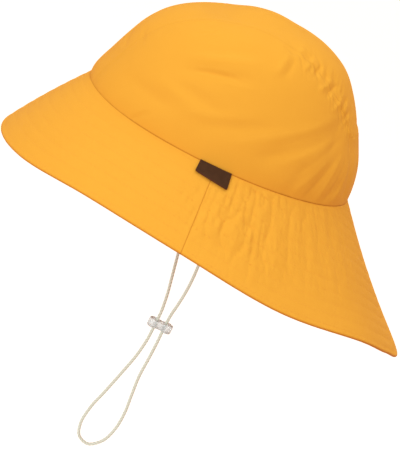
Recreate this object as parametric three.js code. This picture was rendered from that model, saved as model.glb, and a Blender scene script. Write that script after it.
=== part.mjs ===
// Sailor hat: a soft sun hat sewn like a sou'wester, with a long back brim and a chin cord.
// Millimetres, +Z up. The hat's front is -Y and the wearer's left side is +X.
// The origin is the centre of the head opening, in the plane of the seam between crown and brim.

import * as THREE from 'three';

// Head opening and crown
const HEAD_HALF_LENGTH = 96;
const HEAD_HALF_WIDTH = 79;
const CROWN_HEIGHT = 92.5;
const CROWN_WALL = 1.5;

// Brim, measured along the cloth from the seam to the edge
const BRIM_FRONT_WIDTH = 68;
const BRIM_SIDE_WIDTH = 66.5;
const BRIM_BACK_WIDTH = 115;
const BRIM_WALL = 2;

// Seams: the clearance that neighbouring pieces keep, and how far the seam rises at the front
const SEAM_GAP = 0.3;
const SEAM_FRONT_RISE = 3;

// Strip over the crown: half its width at the front seam, and the lift at which it ends behind
const STRIP_HALF_WIDTH = 22;
const STRIP_END_LIFT = 29.5;

// Soft folds in the crown, and gathers in the back brim
const FOLD_DEPTH = 3;
const FOLD_WIDTH = 7;
const GATHER_DEPTH = 0.7;
const GATHER_ANGLE = 7.5;

// Leather label over the left side seam
const LABEL_WIDTH = 22;
const LABEL_DROP = 9.5;
const LABEL_THICKNESS = 1.2;

// Chin cord and its lock
const CORD_DIAMETER = 2.2;
const CORD_SIDES = 8;
const CORD_STEPS = 80;
const LOCK_LENGTH = 17.5;
const LOCK_WIDTH = 8;
const LOCK_HEIGHT = 6.2;
const LOCK_WAIST = 5.2;
const LOCK_BEVEL = 0.8;
const LOCK_HOLE_SPACING = 6.7;
const LOCK_CENTRE = new THREE.Vector3(0, 21.3, -136.8);

// Crown sections: at each lift in degrees above the seam, how far the cloth stands out
// at the front, the sides and the back, as a share of a plain half ellipsoid
const CROWN_SECTIONS = [
  { lift: 0, front: 1, side: 1, back: 1 },
  { lift: 15, front: 0.978, side: 1, back: 0.985 },
  { lift: 25, front: 0.97, side: 1, back: 0.975 },
  { lift: 35, front: 0.98, side: 1.01, back: 0.987 },
  { lift: 45, front: 0.978, side: 1.025, back: 1.005 },
  { lift: 55, front: 0.962, side: 1.03, back: 1.025 },
  { lift: 65, front: 0.955, side: 1.015, back: 1.012 },
  { lift: 78, front: 0.98, side: 0.995, back: 1 },
  { lift: 90, front: 1, side: 1, back: 1 },
];

// Strip sections from the front seam (-1) over the top (0) towards the back seam (1):
// its half width as a share of the half width at the front
const STRIP_SECTIONS = [
  { along: -1, share: 1 },
  { along: -0.6, share: 0.9 },
  { along: -0.2, share: 0.98 },
  { along: 0.1, share: 1.1 },
  { along: 0.28, share: 1.16 },
  { along: 0.45, share: 1.09 },
  { along: 0.68, share: 0.96 },
];

// Brim sections: at each angle round the head opening from the front (0) to the back (180),
// the width along the cloth as a share of a named width, its mean slope below level,
// and by how many degrees that slope grows from the middle to the edge
const BRIM_SECTIONS = [
  { angle: 0, of: BRIM_FRONT_WIDTH, share: 1, slope: 54.5, bow: 5 },
  { angle: 30, of: BRIM_FRONT_WIDTH, share: 0.978, slope: 50.5, bow: 6 },
  { angle: 60, of: BRIM_SIDE_WIDTH, share: 0.947, slope: 45.5, bow: 6 },
  { angle: 90, of: BRIM_SIDE_WIDTH, share: 1, slope: 46.5, bow: 2 },
  { angle: 120, of: BRIM_SIDE_WIDTH, share: 1.195, slope: 47, bow: -1 },
  { angle: 150, of: BRIM_BACK_WIDTH, share: 0.81, slope: 43.5, bow: -3 },
  { angle: 180, of: BRIM_BACK_WIDTH, share: 1, slope: 47, bow: -4 },
];
const BRIM_ROWS = BRIM_SECTIONS.map((row) => ({ ...row, width: row.of * row.share }));

// Crown folds: each runs between two points given by an angle round the head opening
// (positive on the wearer's left) and a lift above the seam, both in degrees.
// Depth and width are shares of the fold sizes; a negative depth stands out.
const CROWN_FOLDS = [
  { fromAngle: 61, fromLift: 30, toAngle: 82, toLift: 36, depth: 0.55, width: 0.9 },
  { fromAngle: 58, fromLift: 37, toAngle: 84, toLift: 43, depth: -0.35, width: 1.1 },
  { fromAngle: 40, fromLift: 11, toAngle: 58, toLift: 13, depth: 0.35, width: 1.2 },
  { fromAngle: 66, fromLift: 20, toAngle: 84, toLift: 21, depth: 0.3, width: 1.3 },
  { fromAngle: 80, fromLift: 13, toAngle: 100, toLift: 18, depth: 0.3, width: 1.2 },
  { fromAngle: 107, fromLift: 12, toAngle: 148, toLift: 36, depth: 0.7, width: 1 },
  { fromAngle: 133, fromLift: 3, toAngle: 141, toLift: 27, depth: 0.5, width: 0.8 },
  { fromAngle: 121, fromLift: 2, toAngle: 124, toLift: 12, depth: 0.3, width: 0.7 },
  { fromAngle: 142, fromLift: 3, toAngle: 149, toLift: 9, depth: 0.4, width: 0.6 },
  { fromAngle: 158, fromLift: 6, toAngle: 157, toLift: 25, depth: 0.5, width: 0.7 },
  { fromAngle: 170, fromLift: 4, toAngle: 172, toLift: 22, depth: 0.4, width: 0.7 },
  { fromAngle: 99, fromLift: 48, toAngle: 99, toLift: 60, depth: -0.3, width: 0.8 },
  { fromAngle: -55, fromLift: 24, toAngle: -80, toLift: 34, depth: 0.5, width: 1.1 },
  { fromAngle: -88, fromLift: 12, toAngle: -108, toLift: 19, depth: 0.35, width: 1.2 },
  { fromAngle: -115, fromLift: 14, toAngle: -146, toLift: 34, depth: 0.6, width: 1 },
  { fromAngle: -136, fromLift: 3, toAngle: -142, toLift: 24, depth: 0.5, width: 0.8 },
  { fromAngle: -160, fromLift: 5, toAngle: -158, toLift: 24, depth: 0.45, width: 0.7 },
];

// Cord route, chosen by hand: from the sewn end inside the left of the crown, down through the
// lock's back hole, round the loop, up through the front hole and to the end on the right
const CORD_ROUTE = [
  [74.6, 6, 9],
  [75.1, 6, 4],
  [75, 6.2, -3],
  [71.6, 7.8, -12],
  [63.5, 11.2, -26],
  [52.5, 15.8, -43],
  [40, 20.2, -61],
  [27.8, 23.6, -80],
  [16.5, 25.3, -99],
  [6.6, 25.3, -116],
  [1.2, 24.8, -126],
  [0, 24.65, -132],
  [0, 24.65, -142],
  [0, 24.8, -150],
  [0, 24.6, -163],
  [0, 24.2, -177],
  [0, 25.4, -192],
  [0, 26.6, -206],
  [0, 25.8, -219],
  [0, 21.6, -231],
  [0, 13.2, -237.8],
  [0, 5.4, -235],
  [0, 2.3, -226],
  [0, 3.6, -212],
  [0, 7.6, -197.5],
  [0, 12.2, -180],
  [0, 16.2, -163],
  [0, 17.8, -150],
  [0, 17.95, -142],
  [0, 17.95, -132],
  [-1.2, 17.8, -126],
  [-6.6, 16.8, -116],
  [-16.5, 13.8, -99],
  [-29, 10.2, -78],
  [-43.5, 7.6, -56],
  [-57.5, 6.3, -35.5],
  [-69, 6, -16.5],
  [-75, 6, -3],
  [-75.1, 6, 4],
  [-74.6, 6, 9],
];

const CLOTH = { color: 0xf4ab3c, roughness: 0.9, metalness: 0 };
const LEATHER = { color: 0x4e352f, roughness: 0.65, metalness: 0 };
const CORD = { color: 0xcfc1a5, roughness: 0.85, metalness: 0 };
const CLEAR_PLASTIC = { color: 0xc9cbc8, roughness: 0.3, metalness: 0, transparent: true, opacity: 0.7 };

// A lift of 90 degrees is the top of the crown; a normal is probed this far to each side
const FULL_LIFT = 90;
const PROBE = 1e-3;

// How finely the walls are cut: steps along a panel, and steps across it
const SIDE_STEPS_BESIDE_STRIP = 27;
const SIDE_STEPS_UNDER_STRIP = 6;
const SIDE_STEPS_DOWN = 12;
const STRIP_STEPS_ACROSS = 6;
const STRIP_STEPS_ALONG = 32;
const BRIM_FRONT_STEPS = { round: 48, out: 6 };
const BRIM_BACK_STEPS = { round: 96, out: 7 };
const LABEL_STEPS_ROUND = 4;
const LABEL_STEPS_DOWN = 2;
const LOCK_BEVEL_STEPS = 2;
const LOCK_CURVE_STEPS = 8;
const CORD_LENGTH_STEPS = 2000;

// The rise of the front seam falls off by this power of the cosine of the angle
const SEAM_RISE_POWER = 6;

// A side panel's front corner stops this share short of the seam plane's rim
const FRONT_CORNER_SHARE = 0.985;

// Where the gathers start and end round the opening, in degrees, and down the brim, as a share
const GATHERS_START = [92, 102];
const GATHERS_END = [140, 170];
const GATHERS_HELD = [0, 0.1];
const GATHERS_FADE = [0.35, 0.8];
const GATHERS_LEAN = 2;

// The value of a table's column between its rows: a smooth curve, level at both ends
function readTable(rows, key, column, at) {
  const last = rows.length - 1;
  const x = THREE.MathUtils.clamp(at, rows[0][key], rows[last][key]);
  const upper = Math.max(1, rows.findIndex((row) => row[key] >= x));
  const lower = upper - 1;
  const step = (i) => rows[i + 1][key] - rows[i][key];
  const rise = (i) => (rows[i + 1][column] - rows[i][column]) / step(i);
  const slope = (i) => {
    if (i === 0 || i === last) return 0;
    return (step(i - 1) * rise(i) + step(i) * rise(i - 1)) / (step(i - 1) + step(i));
  };
  const t = (x - rows[lower][key]) / step(lower);
  const start = (2 * t ** 3 - 3 * t ** 2 + 1) * rows[lower][column];
  const end = (3 * t ** 2 - 2 * t ** 3) * rows[upper][column];
  const leave = (t ** 3 - 2 * t ** 2 + t) * step(lower) * slope(lower);
  const arrive = (t ** 3 - t ** 2) * step(lower) * slope(upper);
  return start + end + leave + arrive;
}

// How far the seam between crown and brim lies above its plane, at an angle round the opening
function seamRise(angle) {
  return SEAM_FRONT_RISE * Math.max(0, Math.cos(angle)) ** SEAM_RISE_POWER;
}

// A point of the crown's outer face, before its folds: angle round the opening and lift, in radians
function plainCrownPoint(angle, lift) {
  const degrees = THREE.MathUtils.radToDeg(lift);
  const ahead = Math.max(0, Math.cos(angle)) ** 2;
  const behind = Math.max(0, -Math.cos(angle)) ** 2;
  const share = ahead * readTable(CROWN_SECTIONS, 'lift', 'front', degrees)
    + (1 - ahead - behind) * readTable(CROWN_SECTIONS, 'lift', 'side', degrees)
    + behind * readTable(CROWN_SECTIONS, 'lift', 'back', degrees);
  return new THREE.Vector3(
    HEAD_HALF_WIDTH * Math.cos(lift) * Math.sin(angle) * share,
    -HEAD_HALF_LENGTH * Math.cos(lift) * Math.cos(angle) * share,
    CROWN_HEIGHT * Math.sin(lift) * share + seamRise(angle) * (1 - Math.sin(lift)),
  );
}

const FOLD_LINES = CROWN_FOLDS.map((fold) => {
  const end = (angle, lift) => plainCrownPoint(
    THREE.MathUtils.degToRad(angle),
    THREE.MathUtils.degToRad(lift),
  );
  return {
    line: new THREE.Line3(end(fold.fromAngle, fold.fromLift), end(fold.toAngle, fold.toLift)),
    depth: fold.depth * FOLD_DEPTH,
    width: fold.width * FOLD_WIDTH,
  };
});

// How deep the folds press the crown in at a point
function foldDepth(point) {
  const nearest = new THREE.Vector3();
  return FOLD_LINES.reduce((sum, { line, depth, width }) => {
    line.closestPointToPoint(point, true, nearest);
    return sum + depth * Math.exp(-((point.distanceTo(nearest) / width) ** 2));
  }, 0);
}

// The crown seen as a flat disc: across and along run from -1 to 1, with the top at the centre
function crownOnDisc(across, along) {
  const angle = Math.atan2(across, -along);
  const lift = (1 - Math.hypot(across, along)) * (Math.PI / 2);
  return plainCrownPoint(angle, lift);
}

// Half the width of the strip, on that disc
function stripHalfWidth(along) {
  const front = STRIP_HALF_WIDTH / HEAD_HALF_WIDTH;
  return front * readTable(STRIP_SECTIONS, 'along', 'share', along);
}

// The strip's end behind, as a radius of that disc
const STRIP_END = 1 - STRIP_END_LIFT / FULL_LIFT;

// A point of the brim's outer face: angle round the opening in radians, and the share of its width
function plainBrimPoint(angle, share) {
  const degrees = THREE.MathUtils.radToDeg(Math.acos(Math.cos(angle)));
  const width = readTable(BRIM_ROWS, 'angle', 'width', degrees);
  const slope = THREE.MathUtils.degToRad(readTable(BRIM_ROWS, 'angle', 'slope', degrees));
  const bow = THREE.MathUtils.degToRad(readTable(BRIM_ROWS, 'angle', 'bow', degrees));
  const halfTurn = bow * share;
  const chord = width * share * (Math.abs(halfTurn) > PROBE ? Math.sin(halfTurn) / halfTurn : 1);
  const fall = slope - bow + halfTurn;
  const outward = new THREE.Vector2(
    HEAD_HALF_LENGTH * Math.sin(angle),
    -HEAD_HALF_WIDTH * Math.cos(angle),
  ).normalize();
  return new THREE.Vector3(
    HEAD_HALF_WIDTH * Math.sin(angle) + outward.x * chord * Math.cos(fall),
    -HEAD_HALF_LENGTH * Math.cos(angle) + outward.y * chord * Math.cos(fall),
    seamRise(angle) * (1 - share) - SEAM_GAP - chord * Math.sin(fall),
  );
}

// Radial gathers in the back brim: strongest beside the side seams, gone before the edge
function gatherHeight(angle, share) {
  const degrees = THREE.MathUtils.radToDeg(Math.acos(Math.cos(angle)));
  const starts = THREE.MathUtils.smoothstep(degrees, ...GATHERS_START);
  const ends = 1 - THREE.MathUtils.smoothstep(degrees, ...GATHERS_END);
  const fades = 1 - THREE.MathUtils.smoothstep(share, ...GATHERS_FADE);
  const held = THREE.MathUtils.smoothstep(share, ...GATHERS_HELD);
  const wave = Math.cos((degrees / GATHER_ANGLE) * 2 * Math.PI + GATHERS_LEAN * share);
  return GATHER_DEPTH * starts * ends * fades * held * wave;
}

// The outward normal of a surface given by two parameters
function normalOf(surface, u, v) {
  const alongU = surface(u + PROBE, v).sub(surface(u - PROBE, v));
  const alongV = surface(u, v + PROBE).sub(surface(u, v - PROBE));
  return alongU.cross(alongV).normalize();
}

function evenSteps(from, to, count) {
  return Array.from({ length: count + 1 }, (_, i) => THREE.MathUtils.lerp(from, to, i / count));
}

// A wall of cloth as one closed solid. place(u, v) gives a point of the outer face and its
// outward normal; the inner face lies under it by the wall's thickness.
function clothWall(columns, rows, thickness, place) {
  const positions = [];
  for (const depth of [0, thickness]) {
    for (const u of columns) {
      for (const v of rows) {
        const { point, normal } = place(u, v);
        positions.push(...point.addScaledVector(normal, -depth).toArray());
      }
    }
  }
  const layer = columns.length * rows.length;
  const at = (depth, i, j) => depth * layer + i * rows.length + j;
  const triangles = [];
  const quad = (a, b, c, d) => triangles.push(a, b, c, a, c, d);
  const lastColumn = columns.length - 1;
  const lastRow = rows.length - 1;
  for (let i = 0; i < lastColumn; i += 1) {
    for (let j = 0; j < lastRow; j += 1) {
      quad(at(0, i, j), at(0, i + 1, j), at(0, i + 1, j + 1), at(0, i, j + 1));
      quad(at(1, i, j), at(1, i, j + 1), at(1, i + 1, j + 1), at(1, i + 1, j));
    }
    quad(at(0, i, 0), at(1, i, 0), at(1, i + 1, 0), at(0, i + 1, 0));
    quad(at(0, i, lastRow), at(0, i + 1, lastRow), at(1, i + 1, lastRow), at(1, i, lastRow));
  }
  for (let j = 0; j < lastRow; j += 1) {
    quad(at(0, 0, j), at(0, 0, j + 1), at(1, 0, j + 1), at(1, 0, j));
    quad(at(0, lastColumn, j), at(1, lastColumn, j), at(1, lastColumn, j + 1), at(0, lastColumn, j + 1));
  }
  const geometry = new THREE.BufferGeometry();
  geometry.setAttribute('position', new THREE.Float32BufferAttribute(positions, 3));
  geometry.setIndex(triangles);
  return geometry;
}

// The folded crown at a place on its disc
function crownPlace(across, along) {
  const normal = normalOf(crownOnDisc, across, along);
  const plain = crownOnDisc(across, along);
  const point = plain.clone().addScaledVector(normal, -foldDepth(plain));
  return { point, normal };
}

// The gathered brim at an angle and a share of its width
function brimPlace(angle, share) {
  const normal = normalOf((u, v) => plainBrimPoint(v, u), share, angle);
  const point = plainBrimPoint(angle, share).addScaledVector(normal, gatherHeight(angle, share));
  return { point, normal };
}

// One side panel of the crown: side is 1 on the wearer's left and -1 on the right.
// Its upper seam follows the strip from the front seam to the strip's end, then that end
// to the centre of the back; every column runs from there down to the brim's seam.
function crownSide(side) {
  const gap = SEAM_GAP / HEAD_HALF_WIDTH / 2;
  const endGap = SEAM_GAP / CROWN_HEIGHT / 2;
  const frontCorner = -FRONT_CORNER_SHARE * Math.sqrt(1 - stripHalfWidth(-1) ** 2);
  const corner = Math.sqrt(STRIP_END ** 2 - stripHalfWidth(STRIP_END) ** 2);
  const beside = evenSteps(frontCorner, corner, SIDE_STEPS_BESIDE_STRIP).map((along) => {
    const across = stripHalfWidth(along) + gap;
    return { angle: Math.atan2(across, -along), radius: Math.hypot(across, along) };
  });
  const turn = beside[beside.length - 1].angle;
  const centreBack = Math.PI - gap;
  const under = evenSteps(turn, centreBack, SIDE_STEPS_UNDER_STRIP).slice(1).map((angle) => {
    return { angle, radius: STRIP_END + endGap };
  });
  const seam = [...beside, ...under];
  const order = side > 0 ? seam : [...seam].reverse();
  const rows = evenSteps(1, 0, SIDE_STEPS_DOWN);
  return clothWall(order, rows, CROWN_WALL, ({ angle, radius }, share) => {
    const reach = THREE.MathUtils.lerp(radius, 1, share);
    return crownPlace(side * reach * Math.sin(angle), -reach * Math.cos(angle));
  });
}

// The strip from the front seam over the top to its end behind
function crownStrip() {
  const gap = SEAM_GAP / HEAD_HALF_WIDTH / 2;
  const endGap = SEAM_GAP / CROWN_HEIGHT / 2;
  const columns = evenSteps(-1, 1, STRIP_STEPS_ACROSS);
  const rows = evenSteps(0, 1, STRIP_STEPS_ALONG);
  return clothWall(columns, rows, CROWN_WALL, (side, share) => {
    const halfWidth = (along) => stripHalfWidth(along) - gap;
    const edge = (radius, sign) => sign * Math.sqrt(radius ** 2 - (side * halfWidth(sign * radius)) ** 2);
    const along = THREE.MathUtils.lerp(edge(1, -1), edge(STRIP_END - endGap, 1), share);
    return crownPlace(side * halfWidth(along), along);
  });
}

// Half of the brim, between two angles given in degrees from the front
function brimHalf(from, to, steps) {
  const gap = SEAM_GAP / HEAD_HALF_LENGTH / 2;
  const start = THREE.MathUtils.degToRad(from) + gap;
  const end = THREE.MathUtils.degToRad(to) - gap;
  return clothWall(
    evenSteps(start, end, steps.round),
    evenSteps(1, 0, steps.out),
    BRIM_WALL,
    brimPlace,
  );
}

// The label hangs from the seam over the brim, centred on the left side seam
function label() {
  const halfAngle = LABEL_WIDTH / HEAD_HALF_LENGTH / 2;
  const columns = evenSteps(
    Math.PI / 2 - halfAngle,
    Math.PI / 2 + halfAngle,
    LABEL_STEPS_ROUND,
  );
  const stand = SEAM_GAP + LABEL_THICKNESS;
  const rows = evenSteps(LABEL_DROP / BRIM_SIDE_WIDTH, 0, LABEL_STEPS_DOWN);
  return clothWall(columns, rows, LABEL_THICKNESS, (angle, share) => {
    const { point, normal } = brimPlace(angle, share);
    return { point: point.addScaledVector(normal, stand), normal };
  });
}

// The cord: one round tube along its route
function chinCord() {
  const route = new THREE.CatmullRomCurve3(CORD_ROUTE.map((point) => new THREE.Vector3(...point)));
  route.arcLengthDivisions = CORD_LENGTH_STEPS;
  const section = new THREE.Shape();
  for (let i = 0; i < CORD_SIDES; i += 1) {
    const angle = (i / CORD_SIDES) * 2 * Math.PI;
    const x = (CORD_DIAMETER / 2) * Math.cos(angle);
    const y = (CORD_DIAMETER / 2) * Math.sin(angle);
    if (i === 0) section.moveTo(x, y);
    else section.lineTo(x, y);
  }
  section.closePath();
  return new THREE.ExtrudeGeometry(section, { steps: CORD_STEPS, extrudePath: route });
}

// The lock: a soft clear bean with two holes, thicker at its ends than at its waist
function cordLock() {
  const radius = LOCK_WIDTH / 2;
  const lobe = LOCK_LENGTH / 2 - radius;
  const waist = radius * (LOCK_WAIST / LOCK_HEIGHT);
  const outline = new THREE.Shape();
  outline.absarc(lobe, 0, radius, -Math.PI / 2, Math.PI / 2, false);
  outline.quadraticCurveTo(0, 2 * waist - radius, -lobe, radius);
  outline.absarc(-lobe, 0, radius, Math.PI / 2, 1.5 * Math.PI, false);
  outline.quadraticCurveTo(0, radius - 2 * waist, lobe, -radius);
  for (const side of [-1, 1]) {
    const hole = new THREE.Path();
    hole.absarc((side * LOCK_HOLE_SPACING) / 2, 0, CORD_DIAMETER / 2 + SEAM_GAP, 0, 2 * Math.PI, true);
    outline.holes.push(hole);
  }
  const geometry = new THREE.ExtrudeGeometry(outline, {
    depth: LOCK_HEIGHT - 2 * LOCK_BEVEL,
    bevelThickness: LOCK_BEVEL,
    bevelSize: LOCK_BEVEL,
    bevelOffset: -LOCK_BEVEL,
    bevelSegments: LOCK_BEVEL_STEPS,
    curveSegments: LOCK_CURVE_STEPS,
  });
  geometry.translate(0, 0, LOCK_BEVEL - LOCK_HEIGHT / 2);
  const place = geometry.attributes.position;
  for (let i = 0; i < place.count; i += 1) {
    const outwards = Math.min(1, Math.abs(place.getX(i)) / lobe) ** 2;
    const flare = THREE.MathUtils.lerp(LOCK_WAIST / LOCK_HEIGHT, 1, outwards);
    place.setZ(i, place.getZ(i) * flare);
  }
  return geometry;
}

function piece(name, geometry, finish) {
  const mesh = new THREE.Mesh(geometry, new THREE.MeshStandardMaterial(finish));
  mesh.name = name;
  return mesh;
}

const lock = piece('cord_lock', cordLock(), CLEAR_PLASTIC);
lock.rotation.z = Math.PI / 2;
lock.position.copy(LOCK_CENTRE);

const hat = new THREE.Group();
hat.add(
  piece('crown_left', crownSide(1), CLOTH),
  piece('crown_right', crownSide(-1), CLOTH),
  piece('crown_strip', crownStrip(), CLOTH),
  piece('brim_front', brimHalf(-90, 90, BRIM_FRONT_STEPS), CLOTH),
  piece('brim_back', brimHalf(90, 270, BRIM_BACK_STEPS), CLOTH),
  piece('label', label(), LEATHER),
  piece('chin_cord', chinCord(), CORD),
  lock,
);

export default hat;
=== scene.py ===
"""Sailor hat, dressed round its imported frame: sewn crown, quilted brim, label, cord and lock."""

import logging
import math
from dataclasses import dataclass, field
from enum import Enum
from typing import Callable, Sequence

import bpy
import numpy as np
from mathutils import Matrix
from numpy.typing import NDArray


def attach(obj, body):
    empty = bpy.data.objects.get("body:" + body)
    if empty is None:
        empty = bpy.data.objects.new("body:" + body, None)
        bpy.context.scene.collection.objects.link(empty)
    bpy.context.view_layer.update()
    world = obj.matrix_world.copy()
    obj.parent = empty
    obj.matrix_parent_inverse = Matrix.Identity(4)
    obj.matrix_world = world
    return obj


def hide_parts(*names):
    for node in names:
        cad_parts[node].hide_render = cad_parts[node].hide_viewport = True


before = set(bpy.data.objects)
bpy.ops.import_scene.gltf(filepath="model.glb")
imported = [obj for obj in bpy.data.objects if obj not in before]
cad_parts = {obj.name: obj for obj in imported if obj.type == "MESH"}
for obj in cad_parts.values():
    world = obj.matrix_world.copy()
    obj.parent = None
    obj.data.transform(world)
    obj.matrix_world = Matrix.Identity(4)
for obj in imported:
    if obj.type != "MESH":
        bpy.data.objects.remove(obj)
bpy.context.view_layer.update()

Array = NDArray[np.float64]
Surface = Callable[[Array, Array], Array]
LOG = logging.getLogger("sailor_hat")
MM = 0.001
PROBE = 1e-3
BODY = "root"


class Cloth(Enum):
    """How a cloth piece is held on the hat."""

    HUNG = "hung"
    GATHERED = "gathered"
    STRETCHED = "stretched"


def smooth_between(value: Array, low: float, high: float) -> Array:
    """Rise from 0 at low to 1 at high, level at both ends."""
    t = np.clip((value - low) / (high - low), 0.0, 1.0)
    return t * t * (3.0 - 2.0 * t)


def bell(distance: Array, width: float) -> Array:
    """One at no distance, falling as the exponential of minus the square of distance over width."""
    return np.exp(-((distance / width) ** 2))


def from_front(angle: Array) -> Array:
    """Degrees from the front, counted alike on both sides."""
    return np.degrees(np.arccos(np.clip(np.cos(angle), -1, 1)))


def unit(vectors: Array) -> Array:
    """Vectors of length one in the same directions."""
    return vectors / np.maximum(np.linalg.norm(vectors, axis=-1, keepdims=True), 1e-12)


def read_table(keys: Sequence[float], values: Sequence[float], at: Array) -> Array:
    """Read a table's column between its rows.

    The curve is a cubic through the rows. Its slope at an inner row is that of the parabola
    through the row and its two neighbours, and it is level at both ends.

    Args:
        keys: the rows' places, in rising order.
        values: the column, one value for each row.
        at: the places to read.

    Returns:
        The column's value at each place.
    """
    x, y = np.asarray(keys, float), np.asarray(values, float)
    slope = np.gradient(y, x)
    slope[[0, -1]] = 0.0
    place = np.clip(at, x[0], x[-1])
    low = np.clip(np.searchsorted(x, place, side="right") - 1, 0, len(x) - 2)
    step = x[low + 1] - x[low]
    t = (place - x[low]) / step
    start = (2 * t**3 - 3 * t**2 + 1) * y[low] + (t**3 - 2 * t**2 + t) * step * slope[low]
    end = (3 * t**2 - 2 * t**3) * y[low + 1] + (t**3 - t**2) * step * slope[low + 1]
    return start + end


def normals_of(surface: Surface, u: Array, v: Array) -> Array:
    """Outward normals of a surface: the cross product of its steps along u and along v."""
    along_u = surface(u + PROBE, v) - surface(u - PROBE, v)
    along_v = surface(u, v + PROBE) - surface(u, v - PROBE)
    return unit(np.cross(along_u, along_v))


@dataclass(frozen=True)
class SoftNoise:
    """Smooth seeded noise: random values on a square lattice, blended by smooth steps."""

    seed: int
    lattice: int = 64

    def __call__(self, u: Array, v: Array) -> Array:
        """Noise from -1 to 1.

        Args:
            u: first coordinate, in lattice cells.
            v: second coordinate, in lattice cells.

        Returns:
            The blend of the four lattice values round each point.
        """
        u, v = np.broadcast_arrays(u, v)
        values = np.random.default_rng(self.seed).uniform(-1, 1, (self.lattice, self.lattice))
        low_u, low_v = np.floor(u).astype(int), np.floor(v).astype(int)
        across, along = u - low_u, v - low_v
        across, along = across**2 * (3 - 2 * across), along**2 * (3 - 2 * along)

        def corner(step_u: int, step_v: int) -> Array:
            """Lattice values at one corner of each point's cell."""
            return values[(low_u + step_u) % self.lattice, (low_v + step_v) % self.lattice]

        near = corner(0, 0) * (1 - across) + corner(1, 0) * across
        far = corner(0, 1) * (1 - across) + corner(1, 1) * across
        return near * (1 - along) + far * along

    def puffs(self, u: Array, v: Array) -> Array:
        """Round bulges between narrow creases, from about -0.5 to 0.5."""
        return np.sqrt(np.abs(self(u, v))) - 0.5


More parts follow.
